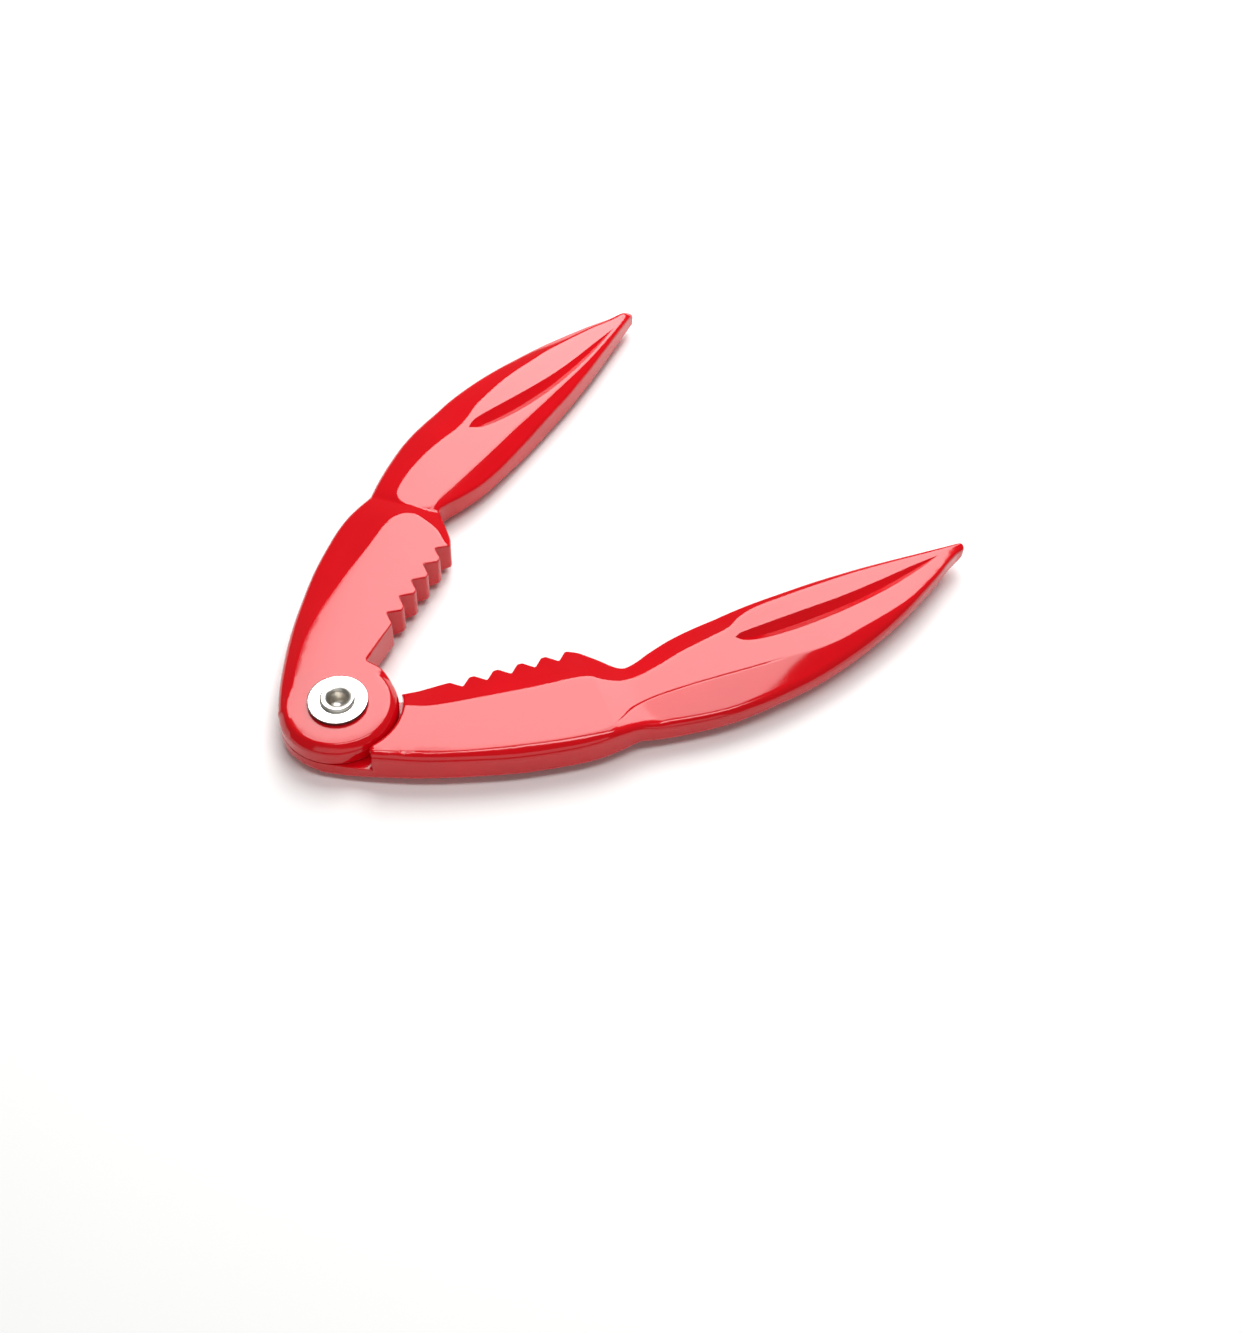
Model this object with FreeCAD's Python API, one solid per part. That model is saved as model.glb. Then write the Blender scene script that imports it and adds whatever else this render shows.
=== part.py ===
"""Hand cracker for lobster and crab: two claw-shaped die-cast arms, lap-jointed on one rivet.

Frame: origin on the pivot axis at the level the cracker rests on, +Z up out of the boss,
+X to the right and +Y away from the user. The arms lie open, both to the right of the pivot.

Both arms are the same casting. The lower arm lies with its boss underneath, and the upper arm
is that casting turned over about its long axis, with its boss on top.

Casting frame, as the lower arm lies: X runs from the pivot to the tip, Y is positive towards
the other arm, and Z is zero on the mid-plane, where the two bosses lap.
"""
import FreeCAD, Part
import math
import os
from collections import namedtuple

V = FreeCAD.Vector

# ---- driving dimensions, mm and degrees ----
THICKNESS = 10.8            # boss and jaw, face to face
UPPER_ARM_ANGLE = 67.1      # direction of the upper arm from +X
LOWER_ARM_ANGLE = 22.9      # direction of the lower arm from +X

BOSS_RADIUS = 14.0
BOSS_FLAT_RADIUS = 12.4     # flat face of the boss, inside its sloping rim
BOSS_RIM_HEIGHT = 4.2       # half-thickness left at the boss's edge
STEP_RADIUS = 15.0          # wall where an arm goes back to full thickness
STEP_END_ANGLE = 77.0       # where that wall's thin tail is cut off, from the arm's own axis
LAP_CLEARANCE = 0.2         # between the lapping boss faces

RIVET_RADIUS = 3.1
RUNNING_CLEARANCE = 0.06    # radial, rivet in the moving arm and in the washer
HEAD_RADIUS = 6.4
HEAD_THICKNESS = 1.2        # its pocket is as deep, so the head is flush
HEAD_POCKET_CLEARANCE = 0.25
HEAD_EDGE = 0.2             # broken edge
ROLL_RADIUS = 4.1           # outside of the rolled end that holds the washer
ROLL_HEIGHT = 0.9
HOLLOW_RADIUS = 2.2
HOLLOW_DEPTH = 4.2
WASHER_RADIUS = 7.05
WASHER_THICKNESS = 1.0
WASHER_EDGE = 0.2           # broken edge
FACE_CLEARANCE = 0.08       # washer over the moving arm

TOOTH_PITCH = 6.0
TOOTH_NOTCHES = 5
FIRST_NOTCH = 29.0          # from the pivot
NOTCH_DEPTH = 2.8           # below the straight edge of the jaw
NOTCH_HALF_ANGLE = 40.0
JAW_EDGE = -0.9             # that edge, in the casting frame

# Cross-sections from the boss to the tip. Distances across are y. Heights are half-thicknesses.
# The far side is the face away from the boss. There the jaw's crown is wider at the outer edge,
# and narrower at the inner one. The last two values are left out where both faces are alike.
Section = namedtuple("Section", [
    "x", "inner_edge", "inner_crease_far", "inner_crease_boss", "outer_crease", "outer_edge",
    "inner_height_far", "inner_height_boss", "outer_height", "crown_height",
    "outer_crease_far", "outer_height_far",
], defaults=(None, None))
JAW = [
    Section(-8.0, -0.5, -1.5, -1.5, -8.8, -11.5, 4.2, 4.2, 4.2, 5.4, -9.9, 4.6),
    Section(-4.0, -0.5, -1.5, -1.5, -10.9, -13.9, 4.1, 4.1, 4.1, 5.4, -12.4, 4.6),
    Section(0.0, -0.5, -1.6, -1.6, -12.6, -16.1, 3.9, 4.1, 3.9, 5.4, -14.4, 4.6),
    Section(5.0, -0.5, -2.5, -1.6, -14.7, -18.5, 3.5, 4.5, 3.5, 5.4, -16.7, 4.5),
    Section(13.0, -0.6, -5.4, -1.6, -17.3, -21.9, 3.1, 5.0, 3.1, 5.4, -19.9, 4.4),
    Section(22.0, -0.8, -8.2, -1.7, -18.8, -24.9, 2.9, 5.0, 2.9, 5.4, -22.7, 4.4),
    Section(34.0, -0.9, -9.8, -1.8, -19.3, -28.1, 2.9, 5.0, 2.9, 5.4, -25.6, 4.4),
    Section(46.0, -1.0, -11.0, -1.9, -19.3, -30.1, 2.9, 5.0, 2.9, 5.4, -27.6, 4.4),
    Section(53.5, -1.1, -11.6, -2.2, -19.3, -30.6, 2.9, 4.9, 2.9, 5.4, -28.3, 4.3),
    Section(56.8, -1.2, -12.0, -4.2, -19.1, -30.5, 2.9, 4.5, 2.9, 5.4, -28.2, 4.2),
]
WAIST = [
    Section(59.8, -3.7, -13.0, -9.0, -17.6, -30.2, 2.9, 3.5, 2.9, 5.35, -27.2, 3.9),
    Section(61.3, -5.0, -13.9, -13.2, -15.0, -29.9, 2.9, 3.2, 2.9, 5.2, -25.8, 3.6),
    Section(64.0, -7.2, -15.6, -13.6, -24.0, -29.7, 2.9, 2.9, 2.9, 3.8),
    Section(67.3, -10.0, -15.5, -12.8, -22.9, -30.1, 3.0, 3.0, 3.0, 3.95),
]
HANDLE = [
    Section(74.0, -7.8, -13.4, -11.6, -22.8, -31.0, 3.1, 3.1, 3.1, 4.1),
    Section(82.0, -5.4, -11.2, -10.2, -22.5, -31.7, 3.2, 3.2, 3.2, 4.2),
    Section(90.0, -3.9, -9.2, -8.7, -21.8, -31.7, 3.2, 3.2, 3.2, 4.2),
    Section(100.0, -2.7, -6.6, -6.6, -21.2, -30.5, 3.2, 3.2, 3.2, 4.2),
    Section(112.0, -1.5, -4.4, -4.6, -20.6, -27.9, 3.1, 3.1, 3.1, 4.1),
    Section(126.0, -0.2, -2.5, -2.5, -17.9, -23.2, 2.9, 2.9, 2.9, 3.8),
    Section(140.0, 0.3, -1.3, -1.3, -13.4, -16.6, 2.5, 2.5, 2.5, 3.3),
    Section(152.0, 0.3, -0.6, -0.6, -8.0, -9.3, 2.1, 2.1, 2.1, 2.8),
    Section(160.0, 0.3, -0.2, -0.2, -3.0, -3.7, 1.7, 1.7, 1.7, 2.2),
    Section(164.6, 0.1, -0.1, -0.1, -0.6, -0.8, 1.2, 1.2, 1.2, 1.4),
]

# Leaf-shaped scoops, one in each face of the casting: x, y and half-width along the centre line
BOSS_SIDE_SCOOP = [(97.6, -18.0, 0.6), (101.0, -15.6, 1.7), (106.0, -13.0, 2.0), (113.0, -10.0, 2.0),
                   (122.0, -6.7, 1.7), (132.0, -4.1, 1.2), (143.0, -2.2, 0.7), (153.0, -1.1, 0.2)]
FAR_SIDE_SCOOP = [(95.8, -11.8, 0.6), (99.5, -12.2, 1.6), (105.0, -12.2, 2.1), (114.0, -11.6, 2.3),
                  (126.0, -9.9, 2.1), (138.0, -7.4, 1.7), (148.0, -4.9, 1.1), (155.5, -2.6, 0.3)]
SCOOP_DEPTH = 1.0           # at the middle of the scoop
SCOOP_RISE = 1.0            # how far the cutter stands above the crown

LOFT_DEGREE = 3
HALF = THICKNESS / 2


def outline(row):
    """Closed eight-cornered wire across the arm. The boss's side is below."""
    outer_crease_far = row.outer_crease_far or row.outer_crease
    outer_height_far = row.outer_height_far or row.outer_height
    corners = [
        (row.inner_edge, -row.inner_height_boss), (row.inner_edge, row.inner_height_far),
        (row.inner_crease_far, row.crown_height), (outer_crease_far, row.crown_height),
        (row.outer_edge, outer_height_far), (row.outer_edge, -row.outer_height),
        (row.outer_crease, -row.crown_height), (row.inner_crease_boss, -row.crown_height),
    ]
    points = [V(row.x, y, z) for y, z in corners]
    return Part.makePolygon(points + points[:1])


def loft(rows, ruled):
    return Part.makeLoft([outline(row) for row in rows], True, ruled, False, LOFT_DEGREE)


def crown_at(x):
    """Half-height of the handle's crown at x, straight between its sections."""
    for near, far in zip(HANDLE, HANDLE[1:]):
        if near.x <= x <= far.x:
            part = (x - near.x) / (far.x - near.x)
            return near.crown_height + part * (far.crown_height - near.crown_height)
    return HANDLE[-1].crown_height


def boss():
    """Disc with a sloping rim on both faces."""
    profile = [
        V(0, 0, -HALF), V(BOSS_FLAT_RADIUS, 0, -HALF), V(BOSS_RADIUS, 0, -BOSS_RIM_HEIGHT),
        V(BOSS_RADIUS, 0, BOSS_RIM_HEIGHT), V(BOSS_FLAT_RADIUS, 0, HALF), V(0, 0, HALF),
    ]
    face = Part.Face(Part.makePolygon(profile + profile[:1]))
    return face.revolve(V(0, 0, 0), V(0, 0, 1), 360)


def scoop(rows, side):
    """V-section cutter that follows a scoop's centre line on the face at side +1 or -1."""
    widest = max(row[2] for row in rows)
    wires = []
    for x, y, half_width in rows:
        depth = SCOOP_DEPTH * half_width / widest
        reach = half_width * (depth + SCOOP_RISE) / depth
        top = crown_at(x) + SCOOP_RISE
        corners = [V(x, y - reach, side * top), V(x, y + reach, side * top),
                   V(x, y, side * (crown_at(x) - depth))]
        wires.append(Part.makePolygon(corners + corners[:1]))
    return Part.makeLoft(wires, True, True)


def notches():
    """Prisms that leave the teeth on the jaw's inner edge."""
    slope = math.tan(math.radians(NOTCH_HALF_ANGLE))
    root = JAW_EDGE - NOTCH_DEPTH
    reach = 2 * NOTCH_DEPTH
    cutters = []
    for number in range(TOOTH_NOTCHES):
        x = FIRST_NOTCH + number * TOOTH_PITCH
        corners = [V(x, root, -HALF), V(x + reach * slope, root + reach, -HALF),
                   V(x - reach * slope, root + reach, -HALF)]
        face = Part.Face(Part.makePolygon(corners + corners[:1]))
        cutters.append(face.extrude(V(0, 0, THICKNESS)))
    return cutters


def lap_cutter():
    """What is taken off above the boss: a disc, and the thin tail of the step behind it."""
    floor = V(0, 0, -LAP_CLEARANCE / 2)
    disc = Part.makeCylinder(STEP_RADIUS, HALF + LAP_CLEARANCE, floor)
    tail = Part.makeCylinder(2 * STEP_RADIUS, HALF + LAP_CLEARANCE, floor, V(0, 0, 1),
                             360 - 2 * STEP_END_ANGLE)
    tail.rotate(V(0, 0, 0), V(0, 0, 1), STEP_END_ANGLE)
    return disc.fuse(tail)


def casting():
    """One arm without its bore."""
    arm = boss().fuse([
        loft(JAW, False), loft(JAW[-1:] + WAIST, True), loft(WAIST[-1:] + HANDLE, False)])
    cutters = [lap_cutter(), scoop(FAR_SIDE_SCOOP, 1), scoop(BOSS_SIDE_SCOOP, -1)]
    return arm.cut(cutters + notches()).removeSplitter()


def put(shape, angle):
    """Casting frame to the cracker's frame, with the arm's axis at angle from +X."""
    shape.rotate(V(0, 0, 0), V(0, 0, 1), angle)
    shape.translate(V(0, 0, HALF))
    return shape


def lower_arm():
    arm = put(casting(), LOWER_ARM_ANGLE)
    bore = Part.makeCylinder(RIVET_RADIUS, THICKNESS)
    pocket = Part.makeCylinder(HEAD_RADIUS + HEAD_POCKET_CLEARANCE, HEAD_THICKNESS)
    return arm.cut([bore, pocket])


def upper_arm():
    arm = casting()
    arm.rotate(V(0, 0, 0), V(1, 0, 0), 180)
    arm = put(arm, UPPER_ARM_ANGLE)
    return arm.cut(Part.makeCylinder(RIVET_RADIUS + RUNNING_CLEARANCE, THICKNESS))


def turned(profile):
    """Solid of revolution about the pivot axis from a closed list of edges."""
    return Part.Face(Part.Wire(profile)).revolve(V(0, 0, 0), V(0, 0, 1), 360)


def washer():
    bottom = THICKNESS + FACE_CLEARANCE
    top = bottom + WASHER_THICKNESS
    bore = RIVET_RADIUS + RUNNING_CLEARANCE
    corners = [V(bore, 0, bottom), V(WASHER_RADIUS - WASHER_EDGE, 0, bottom),
               V(WASHER_RADIUS, 0, bottom + WASHER_EDGE), V(WASHER_RADIUS, 0, top - WASHER_EDGE),
               V(WASHER_RADIUS - WASHER_EDGE, 0, top), V(bore, 0, top)]
    return turned(Part.makePolygon(corners + corners[:1]).Edges)


def rivet():
    """Semi-tubular rivet: flat head in the lower arm's pocket, rolled end over the washer."""
    seat = THICKNESS + FACE_CLEARANCE + WASHER_THICKNESS
    lip = seat + ROLL_HEIGHT
    crest = ROLL_RADIUS - ROLL_HEIGHT / 2
    floor = lip - HOLLOW_DEPTH
    corners = [
        V(0, 0, 0), V(HEAD_RADIUS - HEAD_EDGE, 0, 0), V(HEAD_RADIUS, 0, HEAD_EDGE),
        V(HEAD_RADIUS, 0, HEAD_THICKNESS), V(RIVET_RADIUS, 0, HEAD_THICKNESS),
        V(RIVET_RADIUS, 0, seat), V(crest, 0, seat),
    ]
    edges = [Part.LineSegment(a, b).toShape() for a, b in zip(corners, corners[1:])]
    outer_roll = Part.Arc(corners[-1], V(ROLL_RADIUS, 0, seat + ROLL_HEIGHT / 2),
                          V(crest, 0, lip)).toShape()
    bend = 0.3 * (crest - HOLLOW_RADIUS)
    inner_roll = Part.Arc(V(crest, 0, lip), V(HOLLOW_RADIUS + bend, 0, lip - bend),
                          V(HOLLOW_RADIUS, 0, seat)).toShape()
    hollow = [V(HOLLOW_RADIUS, 0, seat), V(HOLLOW_RADIUS, 0, floor),
              V(0, 0, floor - HOLLOW_RADIUS / 2), V(0, 0, 0)]
    edges += [outer_roll, inner_roll]
    edges += [Part.LineSegment(a, b).toShape() for a, b in zip(hollow, hollow[1:])]
    return turned(edges)


def one_solid(shape):
    """The one valid solid in a shape, or an error."""
    if len(shape.Solids) != 1 or not shape.isValid():
        raise ValueError("expected one valid solid, got %d" % len(shape.Solids))
    return shape.Solids[0]


PIECES = {
    "lower_arm": lower_arm,
    "upper_arm": upper_arm,
    "pivot_rivet": rivet,
    "rivet_washer": washer,
}

os.makedirs("parts", exist_ok=True)
for name, make in PIECES.items():
    solid = one_solid(make())
    solid.exportStep("parts/%s.step" % name)
    print("%s: %.2f cm3" % (name, solid.Volume / 1000))
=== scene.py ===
"""Looks for the lobster cracker: two enamelled die-cast arms, a steel rivet and a washer.

The pieces and the camera are given in millimetres, the floor, the lights and the scale of the
textures in metres. The arms are built in the casting frame: X from the pivot to the tip, Y positive
towards the other arm, Z zero on the mid-plane.
The boss lies at negative Z. The upper arm is the same casting turned over about X.
"""
import math
from collections import namedtuple

import bmesh
import bpy
import numpy as np
from mathutils import Matrix, Vector
from mathutils.geometry import delaunay_2d_cdt
from mathutils.kdtree import KDTree


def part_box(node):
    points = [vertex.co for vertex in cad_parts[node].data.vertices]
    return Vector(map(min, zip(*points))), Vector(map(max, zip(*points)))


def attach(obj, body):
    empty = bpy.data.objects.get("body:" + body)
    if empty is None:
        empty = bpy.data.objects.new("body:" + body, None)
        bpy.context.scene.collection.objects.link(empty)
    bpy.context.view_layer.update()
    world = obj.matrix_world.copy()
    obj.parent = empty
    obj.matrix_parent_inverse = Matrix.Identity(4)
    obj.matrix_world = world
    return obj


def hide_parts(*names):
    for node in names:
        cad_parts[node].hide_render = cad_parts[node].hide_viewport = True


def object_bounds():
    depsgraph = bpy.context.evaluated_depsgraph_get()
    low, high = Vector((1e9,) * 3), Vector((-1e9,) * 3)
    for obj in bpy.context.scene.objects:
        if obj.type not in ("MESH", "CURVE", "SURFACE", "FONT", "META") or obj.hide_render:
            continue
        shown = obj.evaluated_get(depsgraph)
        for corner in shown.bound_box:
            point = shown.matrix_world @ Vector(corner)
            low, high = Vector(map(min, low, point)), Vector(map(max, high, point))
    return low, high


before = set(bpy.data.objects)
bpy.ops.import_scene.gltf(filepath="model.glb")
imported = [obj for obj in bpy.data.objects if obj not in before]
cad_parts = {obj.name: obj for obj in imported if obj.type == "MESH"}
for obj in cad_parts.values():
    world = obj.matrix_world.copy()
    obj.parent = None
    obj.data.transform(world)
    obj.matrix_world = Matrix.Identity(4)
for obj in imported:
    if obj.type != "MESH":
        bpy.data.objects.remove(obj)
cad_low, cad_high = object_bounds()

MM = 0.001

# ---- sizes that the CAD frame gives ----
arm_low, arm_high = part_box("lower_arm")
HALF = (arm_high.z - arm_low.z) / 2 / MM
washer_low, washer_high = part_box("rivet_washer")
rivet_low, rivet_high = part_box("pivot_rivet")

# Direction of each arm from the pivot, in degrees from the frame's X
UPPER_ARM_ANGLE = 67.1
LOWER_ARM_ANGLE = 22.9

# ---- sizes of the casting ----
BOSS_RADIUS = 14.0
BOSS_FLAT_RADIUS = 12.2     # where the boss's flat top ends
BOSS_RIM_HEIGHT = 3.5       # height of the boss above the mid-plane at its rim
STEP_RADIUS = 15.0          # curved step between the lap face and the full thickness
STEP_START_ANGLE = -2.3     # degrees about the pivot
STEP_END_ANGLE = -77.0
TAIL_RADIUS = 16.1          # where the step runs out into the outline
TAIL_REACH = 6.0            # degrees over which the step's ends curve out to the outline
LAP_CLEARANCE = 0.2         # between the two arms' lap faces
BORE_RADIUS = 3.16
POCKET_RADIUS = 6.65        # pocket for the rivet's head
POCKET_DEPTH = 1.2
SEAT_RADIUS = 7.2           # inside this, the faces are turned about the pivot
FACE_RING_RADIUS = 5.0      # ring of points between the bore and the seat

STEP_EDGE = 0.7             # rounding of the step's top edge
LAP_EDGE = 0.25             # rounding of the lap face's edge
BORE_EDGE = 0.2
OUTER_EDGE_ROUNDING = 1.3   # along the outer side of the jaw, on the face with the boss
HANDLE_EDGE_EXTRA = 0.4     # more than that along the handle
FAR_EDGE_ROUNDING = 1.7     # along the outer side, on the far face
INNER_EDGE_ROUNDING = 0.7
TEETH_EDGE_LESS = 0.3       # less than that along the teeth
TIP_EDGE_ROUNDING = 0.45

# Stretches of the arm, as x from and to
TEETH = (24, 58)
JUNCTION = (11, 20)         # where the jaw's inner edge meets the boss
ONTO_TEETH = (16, 24)       # the edges' rounding changes over these
OFF_TEETH = (56, 62)
ONTO_HANDLE = (50, 66)
ONTO_TIP = (125, 163)

TOOTH_PITCH = 6.0
TOOTH_NOTCHES = 5
FIRST_NOTCH = 29.0
NOTCH_ROOT = -3.7
NOTCH_HALF_ANGLE = 40.0

# Rounding of the outline's own corners, seen from above
CORNER_ROUNDING = 0.35
TOOTH_ROUNDING = 0.22
JUNCTION_ROUNDING = 0.5

# Outline of the casting: x, y
OUTER_EDGE = [(-8.0, -11.49), (-4.0, -13.9), (0.0, -16.1), (5.0, -18.5), (13.0, -21.9), (22.0, -24.9),
              (34.0, -28.1), (46.0, -30.1), (53.5, -30.6), (59.0, -30.2), (64.0, -29.7), (69.0, -30.3),
              (76.0, -31.2), (84.0, -31.8), (91.0, -31.6), (100.0, -30.5), (112.0, -27.9),
              (126.0, -23.2), (140.0, -16.6), (152.0, -9.3), (158.0, -5.1), (161.6, -2.9)]
INNER_EDGE = [(15.5, -0.6), (22.0, -0.8), (34.0, -0.9), (46.0, -0.9), (55.6, -0.9), (57.6, -1.8),
              (61.3, -5.0), (65.0, -8.6), (67.3, -10.2), (70.0, -9.6), (74.0, -7.9), (82.0, -5.3),
              (90.0, -3.8), (100.0, -2.6), (112.0, -1.4), (126.0, -0.2), (140.0, 0.3), (152.0, 0.3),
              (161.5, 0.25)]
NOSE_CENTRE = (163.1, -0.95)
NOSE_RADIUS = 1.25
NOSE_START = -58            # degrees
NOSE_END = 88

# Half-thickness of the handle's crown along x
HANDLE_CROWN = [(58.0, 4.2), (64.0, 4.3), (68.0, 4.35), (76.0, 4.45), (90.0, 4.5), (104.0, 4.45),
                (116.0, 4.3), (126.0, 4.0), (140.0, 3.45), (152.0, 2.95), (160.0, 2.6), (165.0, 2.35)]

# Creases round the flat crowns, on the face with the boss: x, y, and the slope outside the crease
JAW_OUTER_BOSS = [(-9.0, -8.0, 0.44), (-4.0, -10.9, 0.46), (0.0, -12.6, 0.48), (5.0, -14.7, 0.54),
                  (13.0, -17.3, 0.53), (22.0, -18.8, 0.42), (34.0, -19.3, 0.28), (46.0, -19.3, 0.23)]
JAW_END_BOSS = [(55.0, -19.4, 0.22), (58.6, -18.4, 0.25), (60.6, -16.6, 0.30), (61.2, -14.0, 0.34),
                (60.4, -10.7, 0.36), (59.1, -7.1, 0.40), (56.3, -3.2, 0.45), (53.8, 0.6, 0.5)]
HANDLE_OUTER_BOSS = [(64.0, -18.5, 0.5), (64.9, -21.4, 0.4), (67.0, -23.1, 0.22), (71.0, -23.8, 0.17),
                     (76.0, -24.0, 0.17), (83.0, -23.4, 0.16), (89.0, -22.2, 0.15), (95.0, -20.6, 0.15),
                     (100.0, -20.2, 0.16), (106.0, -20.4, 0.17), (115.0, -19.3, 0.2),
                     (122.0, -17.9, 0.24), (128.0, -16.1, 0.28), (135.0, -14.0, 0.33),
                     (143.0, -10.7, 0.38), (151.0, -7.1, 0.42), (157.0, -3.9, 0.5), (161.5, -1.8, 0.5)]
HANDLE_INNER_BOSS = [(158.0, -0.6, 0.6), (143.0, -1.1, 0.55), (133.0, -2.0, 0.5), (122.0, -3.5, 0.48),
                     (112.0, -5.0, 0.45), (104.0, -6.4, 0.43), (97.0, -7.5, 0.42), (90.0, -8.6, 0.41),
                     (82.0, -10.0, 0.4), (75.0, -11.2, 0.4), (70.0, -12.1, 0.42), (67.5, -12.0, 0.45),
                     (66.0, -12.6, 0.45), (64.7, -15.2, 0.45)]

# The same on the far face, where one crease runs along the inner side of jaw and handle
JAW_OUTER_FAR = [(-9.0, -9.2, 0.5), (-6.5, -11.0, 0.5), (-2.6, -13.4, 0.5), (3.5, -16.2, 0.5),
                 (10.0, -18.8, 0.5), (21.3, -22.5, 0.5), (31.6, -25.0, 0.5), (44.0, -27.3, 0.5),
                 (51.0, -28.1, 0.45)]
JAW_END_FAR = [(56.0, -28.2, 0.3), (57.8, -26.9, 0.2), (58.3, -24.0, 0.15), (58.3, -21.0, 0.14),
               (58.3, -17.0, 0.14), (58.3, -10.0, 0.14), (58.3, 3.0, 0.14)]
HANDLE_OUTER_FAR = [(59.0, -27.2, 0.2), (61.5, -25.6, 0.17), (65.0, -23.4, 0.14), (70.0, -22.3, 0.13),
                    (79.0, -21.8, 0.12), (88.0, -21.7, 0.12), (98.0, -21.7, 0.14), (105.0, -21.6, 0.17),
                    (113.0, -21.5, 0.25), (120.0, -20.7, 0.33), (127.0, -18.8, 0.4),
                    (135.0, -16.5, 0.45), (143.5, -13.3, 0.5), (152.5, -8.3, 0.55),
                    (158.0, -4.6, 0.55), (161.5, -2.2, 0.55)]
INNER_CREASE_FAR = [(4.0, -1.5, 0.5), (8.0, -3.2, 0.5), (14.0, -5.7, 0.45), (20.0, -8.0, 0.36),
                    (31.0, -9.5, 0.29), (41.0, -10.6, 0.26), (48.0, -11.2, 0.25), (54.0, -11.6, 0.25),
                    (58.0, -12.5, 0.27), (61.0, -14.2, 0.3), (64.5, -15.3, 0.33), (69.0, -15.2, 0.33),
                    (75.0, -13.7, 0.31), (82.0, -11.6, 0.29), (89.0, -10.1, 0.28), (95.0, -8.6, 0.29),
                    (99.0, -6.2, 0.32), (104.0, -4.5, 0.36), (112.0, -3.4, 0.4), (122.0, -2.3, 0.44),
                    (133.0, -1.3, 0.5), (143.0, -0.9, 0.5), (156.0, -0.6, 0.5), (163.0, -0.3, 0.5)]

# Leaf-shaped scoops: x, y and half-width along the centre line
BOSS_SIDE_SCOOP = [(96.9, -17.8, 0.0), (98.4, -16.9, 1.3), (101.0, -15.5, 2.2), (106.0, -13.0, 2.6),
                   (113.0, -10.0, 2.6), (122.0, -6.9, 2.2), (132.0, -4.5, 1.6), (143.0, -2.7, 1.0),
                   (154.0, -1.4, 0.0)]
FAR_SIDE_SCOOP = [(95.4, -11.7, 0.0), (96.8, -12.0, 1.1), (100.0, -12.3, 1.8), (105.0, -12.2, 2.2),
                  (114.0, -11.5, 2.4), (126.0, -9.9, 2.1), (138.0, -7.4, 1.7), (148.0, -4.7, 1.0),
                  (156.0, -2.4, 0.0)]
SCOOP_SLOPE = 0.64          # of the two walls that meet in the scoop's bottom line

CREASE_ROUNDING = 0.45
VALLEY_ROUNDING = 0.2       # where the jaw's end meets the handle
BULGE = 0.05                # how fast the handle's bevels steepen, per mm
LINE_DEPTH = 0.10           # fine line cast along the far face's outer creases
LINE_HALF_WIDTH = 0.30
LINE_FADE = 6.0             # length over which the line fades at its two ends
JAW_START = -8.0            # the jaw's crown starts here, over the boss
HANDLE_START = 50.0         # the handle's surface counts from here on

# ---- sizes of the mesh ----
OUTLINE_DRAFT = 0.1         # spacing of the outline while it is made
OUTLINE_SPACING = 0.6
OUTLINE_FINE_SPACING = 0.22
CREASE_SPACING = 0.6
SCOOP_SPACING = 0.5
SCOOP_MARGIN = 0.4          # row of points outside a scoop
SEAT_SPACING = 0.45
FILL_SPACING = 1.1
WAIST_SPACING = 0.5
WAIST = (53, 71)            # stretch of the arm with the finer filling
RING_GAP = 0.05             # points of a rounding are no nearer than this to others
LINE_GAP = 0.13             # the same for points of a line
CLEAR_DROP = 0.0005         # a point with less drop than this is clear of the roundings
STEP_POINTS = 52            # along the step
CREASE_ROWS = [-1.25, -1, -0.7, -0.35, 0, 0.35, 0.7, 1, 1.25]    # in roundings of the crease
RIM_ROWS = [-0.45, -0.2, 0, 0.2, 0.45]                           # from the boss's flat radius
RING_ANGLES = [22, 42, 60, 76, 90, 106]      # rows of a rounding; past 90 degrees they are clear of it
BREAK_ANGLES = [0, 30, 60, 90]               # rows of a hole's rounded rim
SMALLEST_RING_STEP = 0.01
RING_NEARNESS = 0.97        # a ring's point nearer to the edge than this share belongs elsewhere
WALL_ROWS = [(0, 0), (0, 1), (0.5, 0), (1, -1), (1, 0)]          # share of the height, and bands
WALL_BAND = 0.2             # narrow bands along a wall's two edges
BAND_SHARE = 0.25           # of a low wall, each band takes this much
SEAM_GAP = 0.1              # least height of the wall's lower half
ON_EDGE = 0.0001            # points this near an edge are on it
WELD = 0.0005               # points nearer than this become one
SHARP_ANGLE = 25.0          # from this angle between its faces, an edge is sharp
TURNED_SIDES = 128          # of the rivet and the washer


def monotone(points):
    """A smooth curve y(x) through (x, y) points that never overshoots them."""
    xs = np.array([p[0] for p in points], float)
    ys = np.array([p[1] for p in points], float)
    steps = np.diff(xs)
    rises = np.diff(ys) / steps
    slopes = np.zeros(len(xs))
    same = rises[:-1] * rises[1:] > 0
    weight_a = 2 * steps[1:] + steps[:-1]
    weight_b = steps[1:] + 2 * steps[:-1]
    mean = (weight_a + weight_b) / np.where(same, weight_a / np.where(same, rises[:-1], 1)
                                            + weight_b / np.where(same, rises[1:], 1), 1)
    slopes[1:-1] = np.where(same, mean, 0)
    slopes[0], slopes[-1] = rises[0], rises[-1]

    def curve(x):
        x = np.clip(x, xs[0], xs[-1])
        i = np.clip(np.searchsorted(xs, x) - 1, 0, len(xs) - 2)
        t = (x - xs[i]) / steps[i]
        return (ys[i] * (1 + 2 * t) * (1 - t) ** 2 + ys[i + 1] * t * t * (3 - 2 * t)
                + steps[i] * t * (1 - t) * (slopes[i] * (1 - t) - slopes[i + 1] * t))
    return curve


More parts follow.
